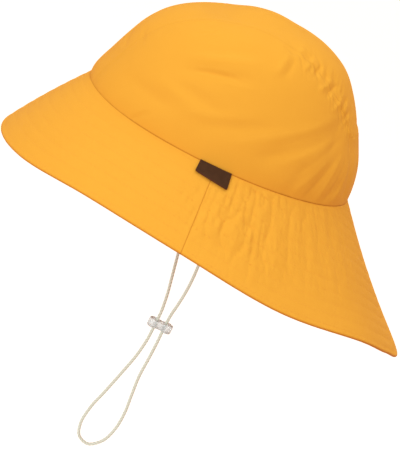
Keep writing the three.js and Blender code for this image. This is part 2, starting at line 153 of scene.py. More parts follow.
@dataclass(frozen=True)
class HatForm:
    """The hat's surfaces, in metres.

    The sizes and tables are the CAD part's, with a few shares, widths and slopes trimmed by a
    millimetre or two to the photograph's outline, and shallower folds, which finer ones join.
    Angles run round the head opening from the front over the wearer's left to the back, and
    lifts rise from the seam to the top.
    """

    half_length: float = 96 * MM
    half_width: float = 79 * MM
    height: float = 92.5 * MM
    crown_wall: float = 1.5 * MM
    brim_wall: float = 2 * MM
    seam_gap: float = 0.3 * MM
    sewn_gap: float = 0.012 * MM
    front_rise: float = 3 * MM
    rise_power: int = 6
    strip_half_width: float = 22 * MM
    strip_end_lift: float = 29.5
    fold_depth: float = 1.5 * MM
    fold_width: float = 7 * MM
    gather_depth: float = 0.2 * MM
    gather_angle: float = 7.5
    lifts: tuple[float, ...] = (0, 15, 25, 35, 45, 55, 65, 78, 90)
    front_share: tuple[float, ...] = (1, 0.9654, 0.9614, 0.9727, 0.9811, 0.9687, 0.9346, 0.9757, 1)
    side_share: tuple[float, ...] = (1, 1, 1, 1.01, 1.025, 1.03, 1.015, 0.995, 1)
    back_share: tuple[float, ...] = (1, 0.9943, 0.9804, 0.9881, 1.0052, 1.0275, 1.0214, 0.9953, 1)
    strip_along: tuple[float, ...] = (-1, -0.6, -0.2, 0.1, 0.28, 0.45, 0.68)
    strip_share: tuple[float, ...] = (1, 0.9, 0.98, 1.1, 1.16, 1.09, 0.96)
    brim_angles: tuple[float, ...] = (0, 30, 60, 90, 120, 150, 165, 180)
    brim_widths: tuple[float, ...] = (67, 66.3, 63, 66.5, 79.5, 92.6, 103, 115.6)
    brim_slopes: tuple[float, ...] = (54.2, 51.4, 45.5, 46.5, 46.2, 43.1, 45.6, 46)
    brim_bows: tuple[float, ...] = (3.5, 5.7, 6, 2, -1, -4.5, -4.5, -5)
    # Folds: angle and lift of both ends, depth and width as shares; a negative depth stands out
    folds: tuple[tuple[float, ...], ...] = (
        (61, 30, 82, 36, 0.55, 0.9),
        (58, 37, 84, 43, -0.35, 1.1),
        (40, 11, 58, 13, 0.35, 1.2),
        (66, 20, 84, 21, 0.3, 1.3),
        (80, 13, 100, 18, 0.3, 1.2),
        (107, 12, 148, 36, 0.7, 1),
        (133, 3, 141, 27, 0.5, 0.8),
        (121, 2, 124, 12, 0.3, 0.7),
        (142, 3, 149, 9, 0.4, 0.6),
        (158, 6, 157, 25, 0.5, 0.7),
        (170, 4, 172, 22, 0.4, 0.7),
        (99, 48, 99, 60, -0.3, 0.8),
        (-55, 24, -80, 34, 0.5, 1.1),
        (-88, 12, -108, 19, 0.35, 1.2),
        (-115, 14, -146, 34, 0.6, 1),
        (-136, 3, -142, 24, 0.5, 0.8),
        (-160, 5, -158, 24, 0.45, 0.7),
    )

    @property
    def strip_end(self) -> float:
        """The strip's end behind, as a radius of the crown's disc."""
        return 1 - self.strip_end_lift / 90

    def seam_rise(self, angle: Array) -> Array:
        """How far the seam lies above its plane: a power of the cosine, at the front only."""
        return self.front_rise * np.clip(np.cos(angle), 0, 1) ** self.rise_power

    def crown_point(self, angle: Array, lift: Array) -> Array:
        """Plain crown.

        A half ellipsoid whose distance from the centre is multiplied by a share, which is read
        from the tables and blended round the head by the square of the cosine.

        Args:
            angle: round the opening, in radians.
            lift: above the seam, in radians.

        Returns:
            Points of the outer face before its folds.
        """
        degrees = np.degrees(lift)
        ahead = np.clip(np.cos(angle), 0, 1) ** 2
        behind = np.clip(-np.cos(angle), 0, 1) ** 2
        share = (
            ahead * read_table(self.lifts, self.front_share, degrees)
            + (1 - ahead - behind) * read_table(self.lifts, self.side_share, degrees)
            + behind * read_table(self.lifts, self.back_share, degrees)
        )
        out = np.cos(lift) * share
        rise = self.seam_rise(angle) * (1 - np.sin(lift))
        return np.stack(
            [
                self.half_width * np.sin(angle) * out,
                -self.half_length * np.cos(angle) * out,
                self.height * np.sin(lift) * share + rise,
            ],
            axis=-1,
        )

    def crown_on_disc(self, across: Array, along: Array) -> Array:
        """Plain crown seen as a flat disc from -1 to 1, with the top at its centre."""
        lift = (1 - np.hypot(across, along)) * (math.pi / 2)
        return self.crown_point(np.arctan2(across, -along), lift)

    def strip_half(self, along: Array) -> Array:
        """Half the strip's width on that disc."""
        share = read_table(self.strip_along, self.strip_share, along)
        return self.strip_half_width / self.half_width * share

    def fold_sum(self, points: Array) -> Array:
        """How deep the folds press in.

        Each fold adds its depth times a bell of the distance to its line over its width.

        Args:
            points: places on the plain crown.

        Returns:
            The depth at each place, in metres.
        """
        total = np.zeros(points.shape[:-1])
        for from_angle, from_lift, to_angle, to_lift, depth, width in self.folds:
            start = self.crown_point(np.radians(from_angle), np.radians(from_lift))
            line = self.crown_point(np.radians(to_angle), np.radians(to_lift)) - start
            share = np.clip((points - start) @ line / (line @ line), 0, 1)
            away = np.linalg.norm(points - start - share[..., None] * line, axis=-1)
            total += depth * self.fold_depth * bell(away, width * self.fold_width)
        return total

    def brim_width(self, angle: Array) -> Array:
        """Width of the brim along its cloth."""
        return MM * read_table(self.brim_angles, self.brim_widths, from_front(angle))

    def brim_point(self, angle: Array, share: Array) -> Array:
        """Plain brim.

        From the seam the cloth runs square outwards along an arc: its slope starts at the mean
        slope less the bow and grows by twice the bow to the edge.

        Args:
            angle: round the opening, in radians.
            share: of the brim's width, from the seam to the edge.

        Returns:
            Points of the outer face.
        """
        degrees = from_front(angle)
        slope = np.radians(read_table(self.brim_angles, self.brim_slopes, degrees))
        bow = np.radians(read_table(self.brim_angles, self.brim_bows, degrees))
        chord = self.brim_width(angle) * share * np.sinc(bow * share / math.pi)
        fall = slope - bow + bow * share
        out = np.stack(
            [self.half_length * np.sin(angle), -self.half_width * np.cos(angle)], axis=-1
        )
        run = unit(out) * (chord * np.cos(fall))[..., None]
        rise = self.seam_rise(angle) * (1 - share)
        return np.stack(
            [
                self.half_width * np.sin(angle) + run[..., 0],
                -self.half_length * np.cos(angle) + run[..., 1],
                rise - self.sewn_gap - chord * np.sin(fall),
            ],
            axis=-1,
        )

    def gathers(self, angle: Array, share: Array) -> Array:
        """Long radial gathers beside the side seams, gone before the brim's edge."""
        degrees = from_front(angle)
        strength = (
            smooth_between(degrees, 92, 102)
            * (1 - smooth_between(degrees, 140, 170))
            * (1 - smooth_between(share, 0.35, 0.8))
            * smooth_between(share, 0, 0.1)
        )
        wave = np.cos(degrees / self.gather_angle * 2 * math.pi + 2 * share)
        return self.gather_depth * strength * wave


def reach(points: Array, axis: int) -> Array:
    """Length along the grid lines of one direction, from its first point."""
    steps = np.linalg.norm(np.diff(points, axis=axis), axis=-1)
    start = np.zeros_like(np.take(steps, [0], axis=axis))
    return np.concatenate([start, np.cumsum(steps, axis=axis)], axis=axis)


def to_end(lengths: Array, axis: int) -> Array:
    """Length that is left to the end of those grid lines."""
    return np.take(lengths, [-1], axis=axis) - lengths


def build_mesh(
    name: str,
    points: Array,
    quads: NDArray[np.int64],
    triangles: NDArray[np.int64] | None = None,
    uv: Array | None = None,
    marks: dict[str, Array] | None = None,
) -> bpy.types.Object:
    """Put arrays into a smooth-shaded mesh object at the origin.

    Args:
        name: of the piece.
        points: places, one row each, in metres.
        quads: faces with four corners.
        triangles: faces with three corners, if any.
        uv: flat coordinates of each point, in metres of cloth.
        marks: named values of each point for the material.

    Returns:
        The piece, linked to the scene.
    """
    loops, counts = [quads.reshape(-1)], [np.full(len(quads), 4)]
    if triangles is not None and len(triangles):
        loops.append(triangles.reshape(-1))
        counts.append(np.full(len(triangles), 3))
    corners, sizes = np.concatenate(loops), np.concatenate(counts)
    mesh = bpy.data.meshes.new(name)
    mesh.vertices.add(len(points))
    mesh.vertices.foreach_set("co", points.astype(np.float32).ravel())
    mesh.loops.add(len(corners))
    mesh.loops.foreach_set("vertex_index", corners.astype(np.int32))
    mesh.polygons.add(len(sizes))
    mesh.polygons.foreach_set("loop_start", (np.cumsum(sizes) - sizes).astype(np.int32))
    mesh.polygons.foreach_set("use_smooth", np.ones(len(sizes), dtype=bool))
    mesh.update(calc_edges=True)
    if uv is not None:
        layer = mesh.uv_layers.new(name="UVMap")
        layer.data.foreach_set("uv", uv[corners].astype(np.float32).ravel())
    for title, values in (marks or {}).items():
        mark = mesh.attributes.new(title, "FLOAT", "POINT")
        mark.data.foreach_set("value", values.astype(np.float32).ravel())
    mesh.validate()
    piece = bpy.data.objects.new(name, mesh)
    bpy.context.scene.collection.objects.link(piece)
    return piece


def dress(
    piece: bpy.types.Object, finish: bpy.types.Material, node: str | None = None
) -> bpy.types.Object:
    """Finish a piece and put it on the hat.

    Args:
        piece: a new piece.
        finish: its material.
        node: the frame's node that it stands for, if any.

    Returns:
        The piece.
    """
    piece.data.materials.append(finish)
    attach(piece, BODY)
    if node:
        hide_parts(node)
    LOG.info("%s: %d faces", piece.name, len(piece.data.polygons))
    return piece


@dataclass
class Wall:
    """A closed wall of cloth or leather on a grid of columns and rows."""

    faces: Array
    normals: Array
    thickness: float
    free_edge: Array | None = None
    puff: Array | float = 0.0
    marks: dict[str, Array] = field(default_factory=dict)

    def distances(self) -> Array:
        """Distance of each grid point to the nearest rim, along the grid."""
        down, along = reach(self.faces, 1), reach(self.faces, 0)
        pairs = [down, to_end(down, 1), along, to_end(along, 0)]
        return np.minimum.reduce(pairs)

    def layers(self) -> tuple[Array, Array]:
        """Outer and inner points.

        Both lie about the middle of the wall at half its thickness, which shrinks to nothing at
        a free edge like a quarter circle, and stand off further by the puff of the filling.

        Returns:
            The outer and the inner grid.
        """
        radius = self.thickness / 2
        inside = np.ones(self.faces.shape[:2])
        if self.free_edge is not None:
            inside = np.clip(self.free_edge / radius, 0, 1)
        half = radius * np.maximum(np.sqrt(1 - (1 - inside) ** 2), 0.05) + self.puff
        middle = self.faces - self.normals * radius
        offset = self.normals * half[..., None]
        return middle + offset, middle - offset

    def build(self, name: str) -> bpy.types.Object:
        """Make the wall's closed mesh, with flat coordinates that follow the cloth."""
        outer, inner = self.layers()
        columns, rows = outer.shape[:2]
        layer = np.arange(columns * rows).reshape(columns, rows)
        top = np.stack([layer[:-1, :-1], layer[1:, :-1], layer[1:, 1:], layer[:-1, 1:]], -1)
        bottom = (top + columns * rows)[..., [0, 3, 2, 1]]
        loop = np.concatenate([layer[:, 0], layer[-1, 1:], layer[-2::-1, -1], layer[0, -2:0:-1]])
        after = np.roll(loop, -1)
        rim = np.stack([loop, loop + columns * rows, after + columns * rows, after], -1)
        quads = np.concatenate([top.reshape(-1, 4), bottom.reshape(-1, 4), rim])
        middle = reach(self.faces, 0)[:, rows // 2]
        uv = np.stack(
            [np.broadcast_to(middle[:, None], (columns, rows)), reach(self.faces, 1)], axis=-1
        ).reshape(-1, 2)
        marks = {title: np.tile(values.ravel(), 2) for title, values in self.marks.items()}
        points = np.concatenate([outer.reshape(-1, 3), inner.reshape(-1, 3)])
        return build_mesh(name, points, quads, uv=np.tile(uv, (2, 1)), marks=marks)


def rim_steps(count: int, fine: Sequence[float]) -> Array:
    """Steps from 0 to 1: even in the middle, with a few fine ones at both ends."""
    close = np.asarray(fine)
    even = np.linspace(close[-1], 1 - close[-1], count)[1:-1]
    return np.concatenate([close, even, (1 - close)[::-1]])


class Socket:
    """A node's output or a number, on which operators add Math nodes."""

    def __init__(self, finish: "NodeTree", source: bpy.types.NodeSocket | float) -> None:
        """Keep the socket and the tree that it belongs to."""
        self.finish = finish
        self.source = source

    def _math(self, operation: str, *others: "Socket | float") -> "Socket":
        """Add one Math node on this value and the others."""
        return self.finish.node("ShaderNodeMath", {"operation": operation}, self, *others)

    def __add__(self, other: "Socket | float") -> "Socket":
        """Sum."""
        return self._math("ADD", other)

    def __mul__(self, other: "Socket | float") -> "Socket":
        """Product."""
        return self._math("MULTIPLY", other)

    def sine(self) -> "Socket":
        """Sine of the value."""
        return self._math("SINE")

    __radd__ = __add__
    __rmul__ = __mul__


class NodeTree:
    """The node tree of one material, with one method for every kind of node."""

    def __init__(self, name: str) -> None:
        """Start an empty material with its output and shader."""
        self.material = bpy.data.materials.new(name)
        self.material.use_nodes = True
        self.tree = self.material.node_tree
        self.tree.nodes.clear()
        self.shader = self.tree.nodes.new("ShaderNodeBsdfPrincipled")
        output = self.tree.nodes.new("ShaderNodeOutputMaterial")
        self.tree.links.new(self.shader.outputs[0], output.inputs["Surface"])

    def put(self, target: bpy.types.NodeSocket, value: "Socket | float | Sequence[float]") -> None:
        """Link a socket or set a number or colour on an input."""
        if isinstance(value, Socket):
            self.tree.links.new(value.source, target)
        else:
            target.default_value = value

    def node(
        self,
        kind: str,
        settings: dict[str, object],
        *values: object,
        take: int | str = 0,
        places: Sequence[int] | None = None,
        **named: object,
    ) -> Socket:
        """Add a node.

        Args:
            kind: the node's type.
            settings: its own properties, set before its sockets.
            values: for its sockets in order.
            take: name or number of the output wanted.
            places: numbers of the sockets that the values are for, where they leave some out.
            named: for its sockets by name, with underscores for spaces.

        Returns:
            The wanted output.
        """
        made = self.tree.nodes.new(kind)
        for key, setting in settings.items():
            setattr(made, key, setting)
        for place, value in zip(places or range(len(values)), values):
            self.put(made.inputs[place], value)
        for key, value in named.items():
            self.put(made.inputs[key.replace("_", " ")], value)
        return Socket(self, made.outputs[take])

    def mark(self, name: str) -> Socket:
        """Values kept with the piece's points."""
        return self.node("ShaderNodeAttribute", {"attribute_name": name}, take="Fac")

    def noise(self, scale: float, detail: float = 2.0) -> Socket:
        """Noise of the object's own space, from 0 to 1."""
        where = self.node("ShaderNodeTexCoord", {}, take="Object")
        return self.node("ShaderNodeTexNoise", {}, Vector=where, Scale=scale, Detail=detail)

    def mix(
        self, factor: Socket, low: "Sequence[float] | Socket", high: "Sequence[float] | Socket"
    ) -> Socket:
        """Blend two colours by the Mix node's colour sockets."""
        values = (factor, low, high)
        return self.node("ShaderNodeMix", {"data_type": "RGBA"}, *values, places=(0, 6, 7), take=2)

    def bump(self, height: Socket, distance: float, strength: float = 1.0) -> None:
        """Let a height turn the shader's normal."""
        normal = self.node("ShaderNodeBump", {}, Strength=strength, Distance=distance, Height=height)
        self.put(self.shader.inputs["Normal"], normal)

    def set(self, **values: object) -> None:
        """Set the shader's sockets by name, with underscores for spaces."""
        for key, value in values.items():
            self.put(self.shader.inputs[key.replace("_", " ")], value)


Colour = tuple[float, float, float, float]
AreaLight = tuple[tuple[float, float, float], float, float, tuple[float, float, float]]


@dataclass(frozen=True)
class WovenCotton:
    """Closely woven matt cotton: fine weave, a little slub, and painted shade along its seams and
    hem.
    """

    name: str = "woven_cotton"
    colour: Colour = (0.765, 0.348, 0.033, 1)
    pale: Colour = (0.815, 0.378, 0.039, 1)
    # deep: colour of the painted shade in the seams and along the hem
    deep: Colour = (0.48, 0.110, 0.003, 1)
    thread_pitch: float = 0.55 * MM
    roughness: float = 0.9
    sheen: float = 0.02

    def material(self) -> bpy.types.Material:
        """Make the finish."""
        nodes = NodeTree(self.name)
        place = nodes.node("ShaderNodeUVMap", {"uv_map": "UVMap"})
        turns = 2 * math.pi / self.thread_pitch
        warp = (nodes.node("ShaderNodeSeparateXYZ", {}, place, take="X") * turns).sine()
        weft = (nodes.node("ShaderNodeSeparateXYZ", {}, place, take="Y") * turns).sine()
        weave = warp * weft
        cloud = nodes.noise(14, 3)
        slub = nodes.noise(900, 2)
        tone = nodes.mix(cloud * 0.7 + slub * 0.3, self.colour, self.pale)
        # Painted shade: each piece's mark blends the cloth towards the deep colour at seams and hem
        painted_shade = nodes.mark("painted_shade")
        nodes.set(
            Base_Color=nodes.mix(painted_shade, tone, self.deep),
            Roughness=self.roughness,
            Sheen_Weight=self.sheen,
            Sheen_Roughness=0.5,
            Specular_IOR_Level=0.1,
        )
        nodes.bump(weave * 0.6 + slub * 0.8 + nodes.noise(260, 2) * 0.8, 0.08 * MM, 0.6)
        return nodes.material


@dataclass(frozen=True)
class SewingThread:
    """Matt thread in the cloth's colour."""

    name: str = "sewing_thread"
    colour: Colour = (0.86, 0.37, 0.035, 1)
    roughness: float = 0.8

    def material(self) -> bpy.types.Material:
        """Make the finish."""
        nodes = NodeTree(self.name)
        fibres = nodes.noise(2500, 2)
        nodes.set(
            Base_Color=nodes.mix(fibres, [0.85 * c for c in self.colour[:3]] + [1], self.colour),
            Roughness=self.roughness,
            Specular_IOR_Level=0.3,
        )
        nodes.bump(fibres, 0.05 * MM)
        return nodes.material


@dataclass(frozen=True)
class DarkLeather:
    """Dark brown matt leather: fine grain, mottled, redder and lighter at its cut edges."""

    name: str = "dark_leather"
    colour: Colour = (0.042, 0.0155, 0.0055, 1)
    light: Colour = (0.07, 0.027, 0.010, 1)
    cut: Colour = (0.10, 0.030, 0.012, 1)
    roughness: float = 0.7

    def material(self) -> bpy.types.Material:
        """Make the finish."""
        nodes = NodeTree(self.name)
        where = nodes.node("ShaderNodeTexCoord", {}, take="Object")
        grain = nodes.node(
            "ShaderNodeTexVoronoi", {"feature": "SMOOTH_F1"}, Vector=where, Scale=1700.0
        )
        tone = nodes.mix(nodes.noise(260, 3), self.colour, self.light)
        nodes.set(
            Base_Color=nodes.mix(nodes.mark("edge"), tone, self.cut),
            Roughness=nodes.noise(500, 2) * 0.2 + (self.roughness - 0.1),
            Specular_IOR_Level=0.1,
        )
        nodes.bump(grain * 0.7 + nodes.noise(1200, 2) * 0.6, 0.08 * MM, 0.7)
        return nodes.material


@dataclass(frozen=True)
class TwistedCotton:
    """Undyed twisted cotton cord: beige strands, painted shade where they meet, and loose fibres."""

    name: str = "twisted_cotton"
    colour: Colour = (0.73, 0.79, 0.70, 1)
    pale: Colour = (0.80, 0.89, 0.83, 1)
    # Colour of the painted shade in the grooves between strands
    groove: Colour = (0.55, 0.58, 0.47, 1)
    roughness: float = 0.88

    def material(self) -> bpy.types.Material:
        """Make the finish."""
        nodes = NodeTree(self.name)
        fibres = nodes.noise(1800, 3)
        tone = nodes.mix(nodes.noise(120, 2), self.colour, self.pale)
        nodes.set(
            # Painted shade blended in by the groove mark
            Base_Color=nodes.mix(nodes.mark("groove") * (fibres * 0.5 + 0.6), tone, self.groove),
            Roughness=self.roughness,
            Sheen_Weight=0.15,
            Specular_IOR_Level=0.25,
        )
        nodes.bump(fibres, 0.15 * MM, 0.8)
        return nodes.material


@dataclass(frozen=True)
class ClearPlastic:
    """Soft clear plastic, milky with small flow marks."""

    name: str = "clear_plastic"
    colour: Colour = (0.88, 0.95, 0.97, 1)
    cloudy: Colour = (0.78, 0.84, 0.87, 1)
    roughness: float = 0.22
    transmission: float = 0.55

    def material(self) -> bpy.types.Material:
        """Make the finish."""
        nodes = NodeTree(self.name)
        haze = nodes.noise(320, 2)
        nodes.set(
            Base_Color=nodes.mix(haze, self.colour, self.cloudy),
            Roughness=haze * 0.2 + self.roughness,
            IOR=1.46,
            Transmission_Weight=self.transmission,
        )
        nodes.bump(nodes.noise(420, 1), 0.12 * MM, 0.5)
        return nodes.material


def stand(thing: bpy.types.Object, place: Array, upright: Array, away: Array) -> None:
    """Link a camera or light, put it in its place and let it look against the way away."""
    side = unit(np.cross(upright, away))
    matrix = np.eye(4)
    matrix[:3, :3] = np.column_stack([side, np.cross(away, side), away])
    matrix[:3, 3] = place
    thing.matrix_world = Matrix(matrix.tolist())
    bpy.context.scene.collection.objects.link(thing)


@dataclass
class Studio:
    """Plain pale floor, soft lights, and the camera at the photograph's viewing angle."""

    azimuth: float = 85.0
    elevation: float = 13.0
    roll: float = 26.4
    distance: float = 1.5
    pixel: float = 0.669 * MM
    picture: tuple[int, int] = (400, 450)
    origin_pixel: tuple[float, float] = (218.6, 137.6)
    floor_drop: float = 1.3
    floor_size: float = 60.0
    floor_glow: float = 0.6
    floor_colour: Colour = (0.86, 0.86, 0.86, 1)
    world_light: float = 0.55
    world_colour: Colour = (1.36, 0.99, 0.8, 1)
    # Place, size in metres, power in watts and colour
    key: AreaLight = ((1.75, -1.0, 0.36), 1.2, 21.0, (0.78, 1.0, 1.06))
    top: AreaLight = ((0.05, -0.05, 2.2), 3.0, 43.0, (0.70, 0.97, 1.02))

    def axes(self) -> tuple[Array, Array, Array]:
        """The camera's right, up and back before it is aimed at the picture's middle."""
        a, e, r = np.radians([self.azimuth, self.elevation, self.roll])
        back = np.array([np.sin(a) * np.cos(e), -np.cos(a) * np.cos(e), np.sin(e)])
        level = unit(np.cross([0.0, 0.0, 1.0], back))
        upright = np.cross(back, level)
        right = np.cos(r) * level + np.sin(r) * upright
        return right, np.cross(back, right), back

    def make_camera(self) -> None:
        """Place the camera on its line of sight and turn it to the picture's middle."""
        right, up, back = self.axes()
        place = back * self.distance
        middle = (
            right * (self.picture[0] / 2 - self.origin_pixel[0])
            - up * (self.picture[1] / 2 - self.origin_pixel[1])
        ) * self.pixel
        data = bpy.data.cameras.new("camera")
        data.sensor_width = 36.0
        data.lens = data.sensor_width * self.distance / (max(self.picture) * self.pixel)
        data.clip_start, data.clip_end = 0.05, 200.0
        camera = bpy.data.objects.new("camera", data)
        stand(camera, place, up, unit(place - middle))
        bpy.context.scene.camera = camera

    def make_floor(self) -> None:
        """Lay a wide pale floor far below the loop of the cord."""
        half = self.floor_size / 2
        corners = np.array([[-half, -half], [half, -half], [half, half], [-half, half]])
        points = np.column_stack([corners, np.full(4, -self.floor_drop)])
        floor = build_mesh("floor", points, np.array([[0, 1, 2, 3]]))
        nodes = NodeTree("pale_floor")
        nodes.set(
            Base_Color=self.floor_colour,
            Roughness=0.9,
            Emission_Color=(1, 1, 1, 1),
            Emission_Strength=self.floor_glow,
        )
        floor.data.materials.append(nodes.material)
        floor.visible_diffuse = False

    def make_light(self, name: str, light: AreaLight) -> None:
        """Add a square soft light that faces the hat."""
        place, size, power, colour = light
        data = bpy.data.lights.new(name, "AREA")
        data.size, data.energy, data.color = size, power, colour
        lamp, place = bpy.data.objects.new(name, data), np.asarray(place, float)
        stand(lamp, place, np.array([0.0, 0.0, 1.0]), unit(place))

    def make_world(self) -> None:
        """Even warm surroundings, and plain display colours."""
        world = bpy.data.worlds.new("surroundings")
        world.use_nodes = True
        shade = world.node_tree.nodes["Background"]
        shade.inputs["Color"].default_value = self.world_colour
        shade.inputs["Strength"].default_value = self.world_light
        bpy.context.scene.world = world
        bpy.context.scene.view_settings.view_transform = "Standard"

    def build(self) -> None:
        """Make the studio."""
        self.make_camera()
        self.make_floor()
        self.make_world()
        self.make_light("key", self.key)
        self.make_light("top", self.top)


@dataclass
class ChinCord:
    """The twisted cord: one round loop, sewn in at both sides and hanging through the lock."""

    diameter: float = 2.2 * MM
    strands: int = 3
    twist_pitch: float = 7.5 * MM
    groove_share: float = 0.16
    sides: int = 20
    ring_step: float = 0.5 * MM
    # Listed in millimetres, from the left end down and round to the right end
    route: tuple[tuple[float, float, float], ...] = (
        (74.6, 6, 9), (75.1, 6, 4), (75, 6.2, -3), (71.6, 7.8, -12), (63.5, 11.2, -26),
        (52.5, 15.8, -43), (40, 20.2, -61), (27.8, 23.6, -80), (16.5, 25.3, -99),
        (6.6, 25.3, -116), (1.2, 24.8, -126), (0, 24.65, -132), (0, 24.65, -142),
        (0, 24.8, -150), (0, 24.6, -163), (0, 24.2, -177), (0, 25.4, -192), (0, 26.6, -206),
        (0, 25.8, -219), (0, 21.6, -231), (0, 13.2, -237.8), (0, 5.4, -235), (0, 2.3, -226),
        (0, 3.6, -212), (0, 7.6, -197.5), (0, 12.2, -180), (0, 16.2, -163), (0, 17.8, -150),
        (0, 17.95, -142), (0, 17.95, -132), (-1.2, 17.8, -126), (-6.6, 16.8, -116),
        (-16.5, 13.8, -99), (-29, 10.2, -78), (-43.5, 7.6, -56), (-57.5, 6.3, -35.5),
        (-69, 6, -16.5), (-75, 6, -3), (-75.1, 6, 4), (-74.6, 6, 9),
    )

    def line(self) -> Array:
        """Smooth centreline.

        A centripetal Catmull-Rom curve through the route: between two points a cubic whose end
        slopes weigh the neighbouring points by the square roots of the distances to them.

        Returns:
            Points along the line, evenly spaced.
        """
        points = MM * np.asarray(self.route)
        points = np.vstack([2 * points[0] - points[1], points, 2 * points[-1] - points[-2]])
        before, start, end, after = points[:-3], points[1:-2], points[2:-1], points[3:]
        gap = [np.sqrt(np.linalg.norm(b - a, axis=1))[:, None]
               for a, b in ((before, start), (start, end), (end, after))]
        leave = ((start - before) / gap[0] - (end - before) / (gap[0] + gap[1])
                 + (end - start) / gap[1]) * gap[1]
        arrive = ((end - start) / gap[1] - (after - start) / (gap[1] + gap[2])
                  + (after - end) / gap[2]) * gap[1]
        t = np.linspace(0, 1, 60, endpoint=False)[None, :, None]
        start, end, leave, arrive = (a[:, None, :] for a in (start, end, leave, arrive))
        fine = ((2 * t**3 - 3 * t**2 + 1) * start + (t**3 - 2 * t**2 + t) * leave
                + (3 * t**2 - 2 * t**3) * end + (t**3 - t**2) * arrive).reshape(-1, 3)
        fine = np.vstack([fine, points[-2]])
        run = reach(fine, 0)
        even = np.linspace(0, run[-1], int(run[-1] / self.ring_step))
        return np.column_stack([np.interp(even, run, fine[:, axis]) for axis in range(3)])

    def build(self, finish: bpy.types.Material, lock: bpy.types.Object) -> bpy.types.Object:
        """Carry the strands' section along the line.

        The radius is the cord's own less a groove where two strands meet, which is one minus the
        absolute cosine of half the strands' number times the angle, and that angle turns once
        round in each twist pitch.

        Args:
            finish: the cord's material.
            lock: the piece that sits on the cord; not used.

        Returns:
            The cord.
        """
        line = self.line()
        ahead = unit(np.gradient(line, axis=0))
        across = unit(np.array([1.0, 0.0, 0.0]) - ahead * ahead[:, :1])
        upward = np.cross(ahead, across)
        run = reach(line, 0)
        angle = np.linspace(0, 2 * math.pi, self.sides, endpoint=False)
        turn = angle[None, :] - 2 * math.pi * run[:, None] / self.twist_pitch
        groove = 1 - np.abs(np.cos(self.strands * turn / 2)) ** 0.8
        radius = self.diameter / 2 * (1 - self.groove_share * groove)
        radius *= np.sqrt(np.clip(np.minimum(run, run[-1] - run) / self.diameter, 0.02, 1))[:, None]
        rings = (
            line[:, None, :]
            + (radius * np.cos(angle))[..., None] * across[:, None, :]
            + (radius * np.sin(angle))[..., None] * upward[:, None, :]
        )
        count = len(line)
        index = np.arange(count * self.sides).reshape(count, self.sides)
        turned = np.roll(index, -1, axis=1)
        quads = np.stack([index[:-1], turned[:-1], turned[1:], index[1:]], -1).reshape(-1, 4)
        first, last = count * self.sides, count * self.sides + 1
        ends = np.concatenate([
            np.stack([np.full(self.sides, first), turned[0], index[0]], -1),
            np.stack([np.full(self.sides, last), index[-1], turned[-1]], -1),
        ])
        points = np.concatenate([rings.reshape(-1, 3), line[:1], line[-1:]])
        # The groove shape also marks the painted shade between strands
        marks = {"groove": np.concatenate([groove.ravel(), [0.0, 0.0]])}
        piece = build_mesh("chin_cord_twisted", points, quads, ends, marks=marks)
        dress(piece, finish, "chin_cord")
        LOG.info("chin cord: %.3f m long", run[-1])
        return piece


